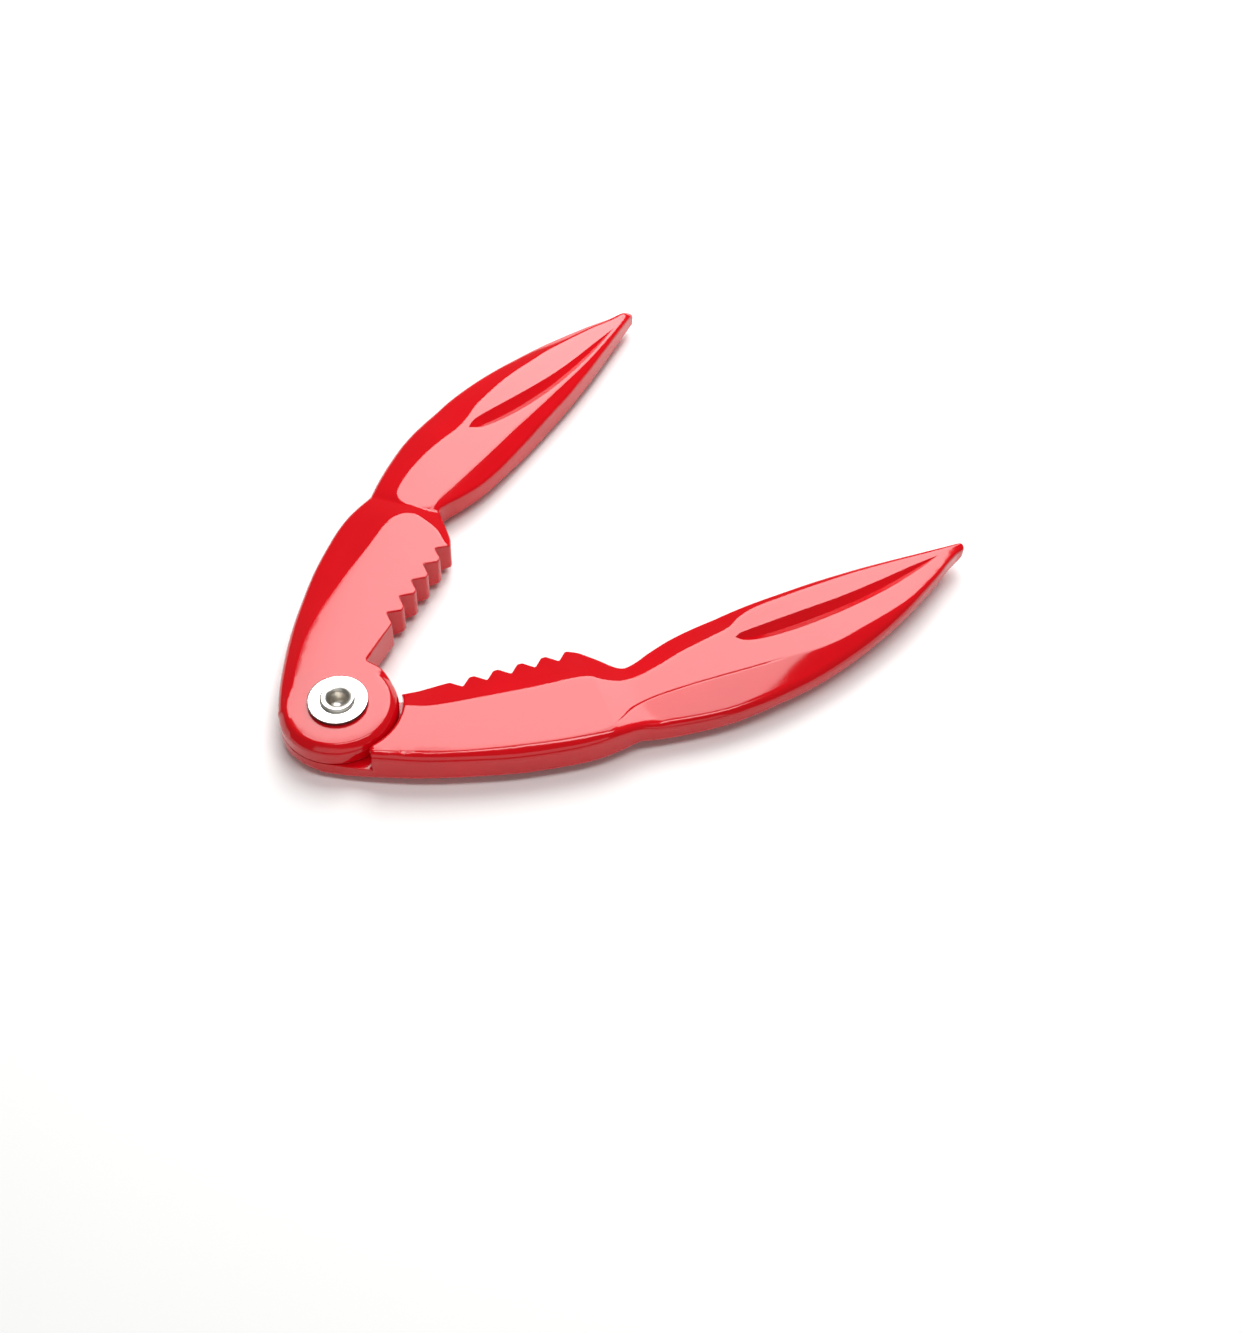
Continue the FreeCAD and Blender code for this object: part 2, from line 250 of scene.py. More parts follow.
def spline(points, spacing):
    """Catmull-Rom curve through points of any width, sampled at about the spacing."""
    p = np.array(points, float)
    p = np.vstack([2 * p[0] - p[1], p, 2 * p[-1] - p[-2]])
    rows = []
    for a, b, c, d in zip(p, p[1:], p[2:], p[3:]):
        count = max(1, int(round(np.linalg.norm(c[:2] - b[:2]) / spacing)))
        t = np.arange(count)[:, None] / count
        rows.append(0.5 * (2 * b + (c - a) * t + (2 * a - 5 * b + 4 * c - d) * t ** 2
                           + (3 * b - a - 3 * c + d) * t ** 3))
    return np.vstack(rows + [p[-2:-1]])


def resample(loop, spacing_at):
    """The closed loop with points at a spacing that depends on the place."""
    closed = np.vstack([loop, loop[:1]])
    length = np.linalg.norm(np.diff(closed, axis=0), axis=1)
    middle = (closed[1:] + closed[:-1]) / 2
    cost = np.concatenate([[0], np.cumsum(length / spacing_at(middle))])
    count = int(round(cost[-1]))
    at = np.arange(count) * cost[-1] / count
    return np.column_stack([np.interp(at, cost, closed[:, k]) for k in range(closed.shape[1])])


def soften(loop, radius_at, step):
    """Rounds the corners of a closed, evenly spaced loop, by a radius that depends on the place."""
    radius = radius_at(loop)
    result = np.zeros_like(loop)
    total = np.zeros(len(loop))
    reach = int(math.ceil(3 * radius.max() / step))
    for k in range(-reach, reach + 1):
        weight = np.exp(-0.5 * (k * step / radius) ** 2)
        result += weight[:, None] * np.roll(loop, -k, axis=0)
        total += weight
    return result / total[:, None]


def nearest(points, line, closed):
    """Distance from each point to a polyline, and where along it the nearest point is."""
    a = line[:, :2]
    b = np.roll(a, -1, axis=0)
    if not closed:
        a, b = a[:-1], b[:-1]
    along = b - a
    square = np.maximum((along ** 2).sum(1), 1e-12)
    best = np.empty(len(points))
    place = np.empty(len(points))
    for start in range(0, len(points), 2000):
        part = points[start:start + 2000, None, :] - a[None]
        t = np.clip((part * along).sum(2) / square, 0, 1)
        distance = np.linalg.norm(part - t[:, :, None] * along, axis=2)
        pick = distance.argmin(1)
        rows = np.arange(len(pick))
        best[start:start + 2000] = distance[rows, pick]
        place[start:start + 2000] = pick + t[rows, pick]
    return best, place


def inside(points, loop):
    """Whether each point lies in the closed loop."""
    x, y = points[:, 0], points[:, 1]
    result = np.zeros(len(points), bool)
    for a, b in zip(loop, np.roll(loop, -1, axis=0)):
        if a[1] != b[1]:
            crosses = (a[1] > y) != (b[1] > y)
            result ^= crosses & (x < (b[0] - a[0]) * (y - a[1]) / (b[1] - a[1]) + a[0])
    return result


def hinge(distance, rounding):
    """The distance where it is positive and zero elsewhere, with the corner rounded."""
    middle = (distance + rounding) ** 2 / (4 * rounding)
    return np.where(distance < -rounding, 0, np.where(distance > rounding, distance, middle))


def highest(a, b, rounding):
    """The higher of two surfaces, with the valley between them rounded."""
    return a + hinge(b - a, rounding)


def firm(line, value):
    """The same value at every point of a line."""
    return np.full(len(line), value)


def circle(radius, start, end, spacing):
    count = max(3, int(round(abs(math.radians(end - start)) * radius / spacing)))
    angle = np.radians(np.linspace(start, end, count + 1))
    return radius * np.column_stack([np.cos(angle), np.sin(angle)])


# ---- outline of the casting ----
inner_edge = monotone(INNER_EDGE)
outer_edge = spline(OUTER_EDGE, OUTLINE_DRAFT)
outer_edge_at = monotone(OUTER_EDGE)


def between(value, start, end):
    """From 0 at the start to 1 at the end."""
    return np.clip((value - start) / (end - start), 0, 1)


def toothed_edge():
    """The inner edge from the tip back to the boss, with its notches."""
    x = np.arange(INNER_EDGE[-1][0], INNER_EDGE[0][0], -OUTLINE_DRAFT)
    y = inner_edge(x)
    for number in range(TOOTH_NOTCHES):
        away = abs(x - FIRST_NOTCH - number * TOOTH_PITCH)
        y = np.minimum(y, NOTCH_ROOT + away / math.tan(math.radians(NOTCH_HALF_ANGLE)))
    return np.column_stack([x, y])


def casting_outline():
    """Anticlockwise outline of the casting seen from its far side."""
    nose = circle(NOSE_RADIUS, NOSE_START, NOSE_END, OUTLINE_DRAFT) + NOSE_CENTRE
    teeth = toothed_edge()
    boss_start = math.degrees(math.asin(INNER_EDGE[0][1] / BOSS_RADIUS))
    boss_end = 360 + math.degrees(math.atan2(OUTER_EDGE[0][1], OUTER_EDGE[0][0]))
    corner = np.array([[BOSS_RADIUS * math.cos(math.radians(boss_start)), INNER_EDGE[0][1]]])
    link = teeth[-1] + (corner - teeth[-1]) * np.linspace(0, 1, 15)[1:-1, None]
    boss = circle(BOSS_RADIUS, boss_start, boss_end, OUTLINE_DRAFT)
    loop = np.vstack([outer_edge, nose, teeth, link, boss[:-1]])
    even = resample(loop, lambda p: firm(p, OUTLINE_DRAFT))
    return soften(even, corner_rounding, OUTLINE_DRAFT)


def corner_rounding(p):
    """Rounding of the outline's corners, which is smaller at the teeth."""
    x, y = p[:, 0], p[:, 1]
    at_teeth = (x > TEETH[0]) & (x < TEETH[1]) & (y > -6)
    junction = (x > JUNCTION[0]) & (x < JUNCTION[1]) & (y > -4)
    return np.where(at_teeth, TOOTH_ROUNDING, np.where(junction, JUNCTION_ROUNDING, CORNER_ROUNDING))


def outline_spacing(p):
    """Finer round the teeth, the nose and the corner by the boss."""
    x, y = p[:, 0], p[:, 1]
    fine = (y > -6) & (x > 12) & (x < 60) | (x > 160)
    return np.where(fine, OUTLINE_FINE_SPACING, OUTLINE_SPACING)


outline = resample(casting_outline(), outline_spacing)


def edge_rounding(p, far):
    """Radius of the edge between a face and the side wall."""
    x, y = p[:, 0], p[:, 1]
    outer = y < (inner_edge(x) + outer_edge_at(x)) / 2
    at_teeth = between(x, *ONTO_TEETH) * between(x, *reversed(OFF_TEETH))
    inner_radius = INNER_EDGE_ROUNDING - TEETH_EDGE_LESS * at_teeth
    on_handle = between(x, *ONTO_HANDLE)
    outer_radius = FAR_EDGE_ROUNDING if far else OUTER_EDGE_ROUNDING + HANDLE_EDGE_EXTRA * on_handle
    tip = between(x, *ONTO_TIP)
    return np.where(outer, outer_radius, inner_radius) * (1 - tip) + TIP_EDGE_ROUNDING * tip


# ---- the two faces ----
def outside_distance(points, loop):
    """Distance outside a closed loop, negative inside it, and the loop's third value nearby."""
    distance, place = nearest(points, loop, True)
    value = np.interp(place, np.arange(len(loop) + 1), np.append(loop[:, 2], loop[0, 2]))
    return np.where(inside(points, loop), -distance, distance), value


def crown_height(points, loop, crown, bulge):
    """Crown inside the loop, and a bevel outside it with the slope that the loop carries."""
    signed, slope = outside_distance(points, loop)
    fall = hinge(signed, CREASE_ROUNDING)
    return crown - slope * (fall + bulge * fall ** 2)


def scoop_drop(points, rows):
    """Depth of a scoop with a V section."""
    line = spline(rows, SCOOP_SPACING)
    distance, place = nearest(points, line, False)
    half_width = np.interp(place, np.arange(len(line)), line[:, 2])
    return SCOOP_SLOPE * np.maximum(half_width - distance, 0)


def line_drop(points, rows):
    """Depth of the fine line cast along a crease, which fades at its two ends."""
    line = spline(rows, CREASE_SPACING)
    distance, place = nearest(points, line, False)
    ends = np.minimum(place, len(line) - 1 - place) * CREASE_SPACING
    return LINE_DEPTH * np.clip(1 - distance / LINE_HALF_WIDTH, 0, 1) * np.clip(ends / LINE_FADE, 0, 1)


def closed(rows, *corners):
    """A loop from a curve through the rows and straight lines through the corners."""
    return np.vstack([spline(rows, CREASE_SPACING)] + [np.array([corner]) for corner in corners])


JAW_CORNER = (-9.0, 4.0, 0.5)
jaw_boss = closed(JAW_OUTER_BOSS + JAW_END_BOSS, (53.8, 4.0, 0.5), JAW_CORNER)
jaw_far = closed(JAW_OUTER_FAR + JAW_END_FAR, (58.3, 4.0, 0.14), JAW_CORNER)
handle_boss = closed(HANDLE_OUTER_BOSS + HANDLE_INNER_BOSS)
handle_far = closed(HANDLE_OUTER_FAR, (170.0, 4.0, 0.5), (59.0, 4.0, 0.5))
inner_far = closed(INNER_CREASE_FAR, (170.0, 0.0, 0.5), (170.0, -50.0, 0.5), (-30.0, -50.0, 0.5),
                   (-30.0, -1.5, 0.5))
handle_crown = monotone(HANDLE_CROWN)


def boss_height(points):
    """Height of the boss: flat, with a bevel down to its rim."""
    radius = np.linalg.norm(points, axis=1)
    slope = (HALF - BOSS_RIM_HEIGHT) / (BOSS_RADIUS - BOSS_FLAT_RADIUS)
    return HALF - slope * hinge(radius - BOSS_FLAT_RADIUS, CREASE_ROUNDING)


def joined(points, jaw, handle):
    """Jaw and handle as one surface, with a rounded valley where they meet."""
    return np.where(points[:, 0] > HANDLE_START, highest(jaw, handle, VALLEY_ROUNDING), jaw)


def boss_side(points):
    """Height of the face that carries the boss."""
    jaw = crown_height(points, jaw_boss, HALF, 0)
    jaw = np.where(points[:, 0] < JAW_START, -HALF, jaw)
    handle = crown_height(points, handle_boss, handle_crown(points[:, 0]), BULGE)
    arm = joined(points, jaw, handle)
    return np.maximum(arm, boss_height(points)) - scoop_drop(points, BOSS_SIDE_SCOOP)


def far_side(points):
    """Height of the face away from the boss, outside the lap."""
    jaw = crown_height(points, jaw_far, HALF, 0)
    handle = crown_height(points, handle_far, handle_crown(points[:, 0]), BULGE)
    arm = joined(points, jaw, handle) + crown_height(points, inner_far, 0, 0)
    lines = line_drop(points, JAW_OUTER_FAR[1:6]) + line_drop(points, HANDLE_OUTER_FAR[:8])
    return arm - lines - scoop_drop(points, FAR_SIDE_SCOOP)


# ---- meshes ----
def smooth_object(name, data):
    """An object of a mesh that is smooth but for its sharp edges."""
    data.shade_smooth()
    data.set_sharp_from_angle(angle=math.radians(SHARP_ANGLE))
    piece = bpy.data.objects.new(name, data)
    bpy.context.collection.objects.link(piece)
    return piece


class Surface:
    """Vertices and faces gathered from several parts of one surface."""

    def __init__(self):
        self.points = []
        self.faces = []
        self.count = 0

    def add(self, points, faces):
        self.points.append(np.asarray(points, float))
        self.faces += [[int(i) + self.count for i in face] for face in faces]
        self.count += len(points)

    def strip(self, rows):
        """Quads between rows of points of equal length."""
        width = len(rows[0])
        faces = []
        for r in range(len(rows) - 1):
            for i in range(width - 1):
                a = r * width + i
                faces.append([a, a + 1, a + width + 1, a + width])
        self.add(np.vstack(rows), faces)

    def wall(self, line, low, high):
        """Upright wall over a line, between two heights at each of its points."""
        rows = []
        band = np.minimum(WALL_BAND, BAND_SHARE * np.abs(high - low))
        for share, bands in WALL_ROWS:
            z = low + share * (high - low) + bands * band
            rows.append(np.column_stack([line[:, :2], z]))
        self.strip(rows)

    def object(self, name, turn):
        """The welded surface as a smooth object, turned into place about the pivot."""
        data = bpy.data.meshes.new(name)
        points = np.vstack(self.points) @ np.array(turn.to_3x3()).T + np.array([0, 0, HALF])
        data.from_pydata((points * MM).tolist(), [], self.faces)
        work = bmesh.new()
        work.from_mesh(data)
        bmesh.ops.remove_doubles(work, verts=work.verts, dist=WELD * MM)
        bmesh.ops.recalc_face_normals(work, faces=work.faces)
        work.to_mesh(data)
        work.free()
        return smooth_object(name, data)


# A line that a face is rounded down to, with the radius of the rounding at each of its points
Edge = namedtuple("Edge", ["line", "radius", "closed"])


def rounding_drop(points, edges):
    """How far the rounded edges lie below the face at each point."""
    drop = np.zeros(len(points))
    for edge in edges:
        distance, place = nearest(points, edge.line, edge.closed)
        distance = np.where(distance < ON_EDGE, 0, distance)
        radii = np.append(edge.radius, edge.radius[0])
        radius = np.interp(place, np.arange(len(radii)), radii)
        short = np.clip(radius - distance, 0, None)
        drop = np.maximum(drop, radius - np.sqrt(np.maximum(radius ** 2 - short ** 2, 0)))
    return drop


def normals(line, closed):
    """Unit normals to the left of a line."""
    if closed:
        tangent = np.roll(line, -1, axis=0) - np.roll(line, 1, axis=0)
    else:
        tangent = np.gradient(line, axis=0)
    tangent = tangent / np.linalg.norm(tangent, axis=1)[:, None]
    return np.column_stack([-tangent[:, 1], tangent[:, 0]])


def ring_points(edge):
    """Rows of points beside an edge, over its rounding."""
    normal = normals(edge.line, edge.closed)
    rows = []
    for angle in RING_ANGLES:
        step = edge.radius * (1 - math.cos(math.radians(angle)))
        row = edge.line + normal * step[:, None]
        found, _ = nearest(row, edge.line, edge.closed)
        rows.append(row[(step > SMALLEST_RING_STEP) & (found > RING_NEARNESS * step)])
    return np.vstack(rows)


def beside(line, offsets):
    """Points on lines beside an open line, at offsets that may vary along it."""
    normal = normals(line[:, :2], False)
    return np.vstack([line[:, :2] + normal * np.reshape(offset, (-1, 1)) for offset in offsets])


def crease_points(loop):
    """Rows of points over the rounding of a crease."""
    return beside(loop, [share * CREASE_ROUNDING for share in CREASE_ROWS])


def scoop_folds(rows):
    """The outline of a scoop and the line along its bottom."""
    line = spline(rows, CREASE_SPACING)
    half = line[:, 2]
    near, far = beside(line, [-half]), beside(line, [half])
    return [np.vstack([near, far[-2:0:-1], near[:1]]), line[1:-1, :2]]


def scoop_points(rows):
    """Rows of points on a scoop's walls and outside its outline."""
    line = spline(rows, CREASE_SPACING)
    half = line[:, 2]
    return beside(line, [-0.5 * half, 0.5 * half, -half - SCOOP_MARGIN, half + SCOOP_MARGIN])


def thin_out(points, spacing, taken):
    """The points that are no nearer than the spacing to those taken, or to an earlier one."""
    everything = np.vstack([taken, points])
    tree = KDTree(len(everything))
    for i, p in enumerate(everything):
        tree.insert((p[0], p[1], 0), i)
    tree.balance()
    kept = np.ones(len(everything), bool)
    for own in range(len(taken), len(everything)):
        p = everything[own]
        for _, other, _ in tree.find_range((p[0], p[1], 0), spacing):
            if other < own and kept[other]:
                kept[own] = False
                break
    return everything[kept]


def fill_grid(low, high, spacing):
    """Points of a triangular grid over a rectangle."""
    x = np.arange(low[0], high[0], spacing)
    y = np.arange(low[1], high[1], spacing * 0.87)
    grid_x, grid_y = np.meshgrid(x, y)
    grid_x = grid_x + (np.arange(len(y)) % 2)[:, None] * spacing / 2
    return np.column_stack([grid_x.ravel(), grid_y.ravel()])


def within(points, loops):
    """Whether each point lies in the first loop and outside the others."""
    result = inside(points, loops[0])
    for loop in loops[1:]:
        result &= ~inside(points, loop)
    return result


def sheet(loops, edges, folds, lines, height, side, surface):
    """Adds the face over the first loop and outside the others to a surface.

    Edges of the mesh follow the folds. The other lines only bring more points.
    """
    border = np.vstack(loops)
    points = border
    links = []
    for loop in loops:
        start = len(links)
        links += [(start + i, start + (i + 1) % len(loop)) for i in range(len(loop))]
    for fold in folds:
        start = len(points)
        points = np.vstack([points, fold])
        links += [(start + i, start + i + 1) for i in range(len(fold) - 1)]
    for edge in edges:
        rings = ring_points(edge)
        points = thin_out(rings[within(rings, loops)], RING_GAP, points)

    def clear(more):
        return more[within(more, loops) & (rounding_drop(more, edges) < CLEAR_DROP)]

    for line in lines:
        points = thin_out(clear(line), LINE_GAP, points)
    low, high = border.min(0), border.max(0)
    waist_low = (max(low[0], WAIST[0]), low[1])
    waist_high = (min(high[0], WAIST[1]), high[1])
    waist = fill_grid(waist_low, waist_high, WAIST_SPACING)
    if len(waist):
        points = thin_out(clear(waist), 0.7 * WAIST_SPACING, points)
    points = thin_out(clear(fill_grid(low, high, FILL_SPACING)), 0.6 * FILL_SPACING, points)

    flat, _, triangles, _, _, _ = delaunay_2d_cdt([Vector(p) for p in points], links, [], 0, 1e-6)
    flat = np.array([tuple(p) for p in flat])
    triangles = np.array(triangles)
    middle = flat[triangles].mean(1)
    triangles = triangles[within(middle, loops)]
    z = height(flat) - rounding_drop(flat, edges)
    surface.add(np.column_stack([flat, side * z]), triangles)


def edge_heights(line, edges, height):
    """Height of a face along its own edge, under the rounding."""
    return height(line) - rounding_drop(line, edges)


# ---- the casting's lines ----
def nearest_index(loop, point):
    return int(np.linalg.norm(loop - np.array(point), axis=1).argmin())


def polar(radius, angle):
    return radius * math.cos(math.radians(angle)), radius * math.sin(math.radians(angle))


tail = nearest_index(outline, polar(TAIL_RADIUS, STEP_END_ANGLE))
corner = nearest_index(outline, polar(STEP_RADIUS, STEP_START_ANGLE))
arm_part = outline[tail:corner + 1]
boss_part = np.vstack([outline[corner:], outline[:tail + 1]])
lap_level = -LAP_CLEARANCE / 2


def step_line():
    """From the corner by the jaw's inner edge, clockwise round the boss, to the tail of the step."""
    first = math.degrees(math.atan2(boss_part[0, 1], boss_part[0, 0]))
    last = math.degrees(math.atan2(arm_part[0, 1], arm_part[0, 0]))
    angle = np.linspace(first, last, STEP_POINTS)
    end_radius = np.linalg.norm(arm_part[0])
    start_radius = np.linalg.norm(boss_part[0])
    at_tail = np.clip(1 - (angle - last) / TAIL_REACH, 0, 1) ** 3
    at_start = np.clip(1 - (first - angle) / TAIL_REACH, 0, 1) ** 3
    radius = STEP_RADIUS + (end_radius - STEP_RADIUS) * at_tail + (start_radius - STEP_RADIUS) * at_start
    line = radius[:, None] * np.column_stack([np.cos(np.radians(angle)), np.sin(np.radians(angle))])
    line[0], line[-1] = boss_part[0], arm_part[0]
    return line


step = step_line()


def round_hole(radius):
    """Clockwise circle, so that the material is on its left."""
    return circle(radius, 360, 0, SEAT_SPACING)[:-1]


def casting_faces():
    """Everything on a casting but the middle of its two faces round the pivot."""
    surface = Surface()
    face_edges = [Edge(outline, edge_rounding(outline, False), True)]
    arm_edges = [Edge(arm_part, edge_rounding(arm_part, True), False),
                 Edge(step, firm(step, STEP_EDGE), False)]
    lap_edges = [Edge(boss_part, firm(boss_part, LAP_EDGE), False)]
    seat = round_hole(SEAT_RADIUS)
    rim = [circle(BOSS_FLAT_RADIUS + offset, 0, 360, CREASE_SPACING)[:-1] for offset in RIM_ROWS]
    boss_lines = [crease_points(jaw_boss), crease_points(handle_boss), scoop_points(BOSS_SIDE_SCOOP)]
    far_lines = [crease_points(jaw_far), crease_points(handle_far), crease_points(inner_far),
                 scoop_points(FAR_SIDE_SCOOP)]

    def lap(points):
        return firm(points, lap_level)

    def lower_edge(line):
        return -edge_heights(line, face_edges, boss_side)

    def seam(line):
        return np.maximum(lower_edge(line) + SEAM_GAP, lap_level - LAP_EDGE)

    sheet([outline, seat], face_edges, scoop_folds(BOSS_SIDE_SCOOP), boss_lines + rim,
          boss_side, -1, surface)
    sheet([np.vstack([arm_part, step[1:-1]])], arm_edges, scoop_folds(FAR_SIDE_SCOOP), far_lines,
          far_side, 1, surface)
    sheet([np.vstack([boss_part, step[-2:0:-1]]), seat], lap_edges, [], [], lap, 1, surface)
    whole = np.vstack([outline, outline[:1]])
    surface.wall(whole, lower_edge(whole), seam(whole))
    surface.wall(arm_part, seam(arm_part), edge_heights(arm_part, arm_edges, far_side))
    surface.wall(step, edge_heights(step, lap_edges, lap), edge_heights(step, arm_edges, far_side))
    return surface


def broken_edge(radius):
    """Profile of the rounded rim of a hole in the face with the boss."""
    return [(radius + BORE_EDGE * (1 - math.sin(a)), -HALF + BORE_EDGE * (1 - math.cos(a)))
            for a in np.radians(BREAK_ANGLES)]


def bored(faces, pocket):
    """A casting with its bore. The pocket takes the rivet's head."""
    surface = Surface()
    surface.add(np.vstack(faces.points), faces.faces)
    seat = round_hole(SEAT_RADIUS)
    directions = np.vstack([seat, seat[:1]]) / SEAT_RADIUS
    profile = [(SEAT_RADIUS, -HALF)]
    if pocket:
        profile += broken_edge(POCKET_RADIUS)
        profile += [(POCKET_RADIUS, -HALF + POCKET_DEPTH), (BORE_RADIUS, -HALF + POCKET_DEPTH)]
    else:
        profile += [(FACE_RING_RADIUS, -HALF)]
        profile += broken_edge(BORE_RADIUS)
    profile += [(BORE_RADIUS, lap_level), (FACE_RING_RADIUS, lap_level), (SEAT_RADIUS, lap_level)]
    surface.strip([np.column_stack([directions * radius, firm(directions, z)]) for radius, z in profile])
    return surface


# ---- turned pieces ----
WASHER_EDGE = 0.18          # rounding of the washer's outer edges
HEAD_THICKNESS = 1.2
HEAD_EDGE = 0.22            # rounding of the rivet head's edge
SHANK_RADIUS = 3.1
ROLLED_RADIUS = 4.1         # outside of the rolled end
HOLLOW_RADIUS = 2.2
MOUTH_ROUNDING = 1.0        # where the rolled end bends down into the hollow


def turned(name, profile, count):
    """Closed profile of (radius, z) points turned about the pivot axis. Radius 0 makes a pole."""
    work = bmesh.new()
    rows = []
    for radius, z in profile:
        if radius < 1e-6:
            rows.append([work.verts.new((0, 0, z * MM))])
            continue
        angles = [2 * math.pi * i / count for i in range(count)]
        rows.append([work.verts.new((radius * math.cos(a) * MM, radius * math.sin(a) * MM, z * MM))
                     for a in angles])
    for a, b in zip(rows, rows[1:] + rows[:1]):
        if len(a) == 1 and len(b) == 1:
            continue
        for i in range(count):
            j = (i + 1) % count
            start = [a[0]] if len(a) == 1 else [a[i], a[j]]
            end = [b[0]] if len(b) == 1 else [b[j], b[i]]
            work.faces.new(start + end)
    bmesh.ops.recalc_face_normals(work, faces=work.faces)
    data = bpy.data.meshes.new(name)
    work.to_mesh(data)
    work.free()
    return smooth_object(name, data)


def arc(centre, radius, start, end, count):
    """Points of an arc in a profile, in degrees from the outward direction."""
    angles = np.radians(np.linspace(start, end, count))
    return [(centre[0] + radius * math.cos(a), centre[1] + radius * math.sin(a)) for a in angles]


def washer_profile():
    outer = washer_high.x / MM
    low, high = washer_low.z / MM, washer_high.z / MM
    return ([(BORE_RADIUS, low)] + arc((outer - WASHER_EDGE, low + WASHER_EDGE), WASHER_EDGE, -90, 0, 5)
            + arc((outer - WASHER_EDGE, high - WASHER_EDGE), WASHER_EDGE, 0, 90, 5)
            + [(radius, high) for radius in (outer - 0.5, 5.4, 4.6, BORE_RADIUS)])


def rivet_profile():
    """Flat head, shank, and the end rolled over the washer round a blind hollow."""
    head = rivet_high.x / MM
    low, high = rivet_low.z / MM, rivet_high.z / MM
    head_top = low + HEAD_THICKNESS
    seat = washer_high.z / MM
    roll = (high - seat) / 2
    crest = ROLLED_RADIUS - roll
    bend_top = high - 0.05
    return ([(0, low), (head - HEAD_EDGE - 0.6, low)]
            + arc((head - HEAD_EDGE, low + HEAD_EDGE), HEAD_EDGE, -90, 0, 5)
            + [(head, head_top), (SHANK_RADIUS, head_top), (SHANK_RADIUS, seat), (crest, seat)]
            + arc((crest, seat + roll), roll, -80, 90, 12)
            + [(crest - 0.25, high - 0.015)]
            + arc((HOLLOW_RADIUS + MOUTH_ROUNDING, bend_top - MOUTH_ROUNDING), MOUTH_ROUNDING, 92, 180, 9)
            + [(HOLLOW_RADIUS, high - 2.5), (HOLLOW_RADIUS, high - 4.2), (HOLLOW_RADIUS - 0.3, high - 4.5),
               (0, high - 5.2)])


# ---- materials ----
def material(name, colour, metallic, roughness):
    """A material with its nodes, links and shader."""
    made = bpy.data.materials.new(name)
    made.use_nodes = True
    shader = made.node_tree.nodes["Principled BSDF"]
    shader.inputs["Base Color"].default_value = (*colour, 1)
    shader.inputs["Metallic"].default_value = metallic
    shader.inputs["Roughness"].default_value = roughness
    return made, made.node_tree.nodes, made.node_tree.links, shader


def node(nodes, kind, **values):
    """A new node with the given inputs and settings."""
    made = nodes.new(kind)
    for key, value in values.items():
        if key in made.inputs:
            made.inputs[key].default_value = value
        else:
            setattr(made, key, value)
    return made


def enamel():
    """Glossy red enamel with faint mottling and orange peel."""
    made, nodes, links, shader = material("red_enamel", (0.58, 0.001, 0.006), 0.0, 0.1)
    shader.inputs["IOR"].default_value = 1.5
    place = nodes.new("ShaderNodeTexCoord")
    mottle = node(nodes, "ShaderNodeTexNoise", Scale=45.0, Detail=3.0)
    links.new(place.outputs["Object"], mottle.inputs["Vector"])
    ramp = nodes.new("ShaderNodeValToRGB")
    ramp.color_ramp.elements[0].position = 0.3
    ramp.color_ramp.elements[0].color = (0.54, 0.001, 0.005, 1)
    ramp.color_ramp.elements[1].position = 0.7
    ramp.color_ramp.elements[1].color = (0.62, 0.001, 0.006, 1)
    links.new(mottle.outputs["Fac"], ramp.inputs["Fac"])
    links.new(ramp.outputs["Color"], shader.inputs["Base Color"])
    peel = node(nodes, "ShaderNodeTexNoise", Scale=420.0, Detail=2.0)
    links.new(place.outputs["Object"], peel.inputs["Vector"])
    bump = node(nodes, "ShaderNodeBump", Strength=0.05, Distance=0.0001)
    links.new(peel.outputs["Fac"], bump.inputs["Height"])
    links.new(bump.outputs["Normal"], shader.inputs["Normal"])
    return made


def turned_steel(name, colour, roughness):
    """Bright metal with the fine rings that turning leaves round the axis."""
    made, nodes, links, shader = material(name, colour, 1.0, roughness)
    place = nodes.new("ShaderNodeTexCoord")
    split = nodes.new("ShaderNodeSeparateXYZ")
    links.new(place.outputs["Object"], split.inputs["Vector"])
    flat = nodes.new("ShaderNodeCombineXYZ")
    links.new(split.outputs["X"], flat.inputs["X"])
    links.new(split.outputs["Y"], flat.inputs["Y"])
    radius = nodes.new("ShaderNodeVectorMath")
    radius.operation = "LENGTH"
    links.new(flat.outputs["Vector"], radius.inputs[0])
    rings = node(nodes, "ShaderNodeTexNoise", noise_dimensions="1D", Scale=9000.0, Detail=2.0)
    links.new(radius.outputs["Value"], rings.inputs["W"])
    bump = node(nodes, "ShaderNodeBump", Strength=0.15, Distance=0.00002)
    links.new(rings.outputs["Fac"], bump.inputs["Height"])
    links.new(bump.outputs["Normal"], shader.inputs["Normal"])
    wear = node(nodes, "ShaderNodeTexNoise", Scale=260.0, Detail=4.0)
    links.new(place.outputs["Object"], wear.inputs["Vector"])
    spread = node(nodes, "ShaderNodeMapRange")
    spread.inputs["To Min"].default_value = roughness * 0.8
    spread.inputs["To Max"].default_value = roughness * 1.3
    links.new(wear.outputs["Fac"], spread.inputs["Value"])
    links.new(spread.outputs["Result"], shader.inputs["Roughness"])
    return made


red = enamel()
steel = turned_steel("rivet_steel", (0.66, 0.63, 0.58), 0.32)
nickel = turned_steel("washer_nickel", (0.86, 0.86, 0.85), 0.16)
# Near-black metal for the washer's side wall: painted shade, not a real sheared finish
painted_shade_wall = turned_steel("washer_wall_painted_shade", (0.16, 0.15, 0.14), 0.5)

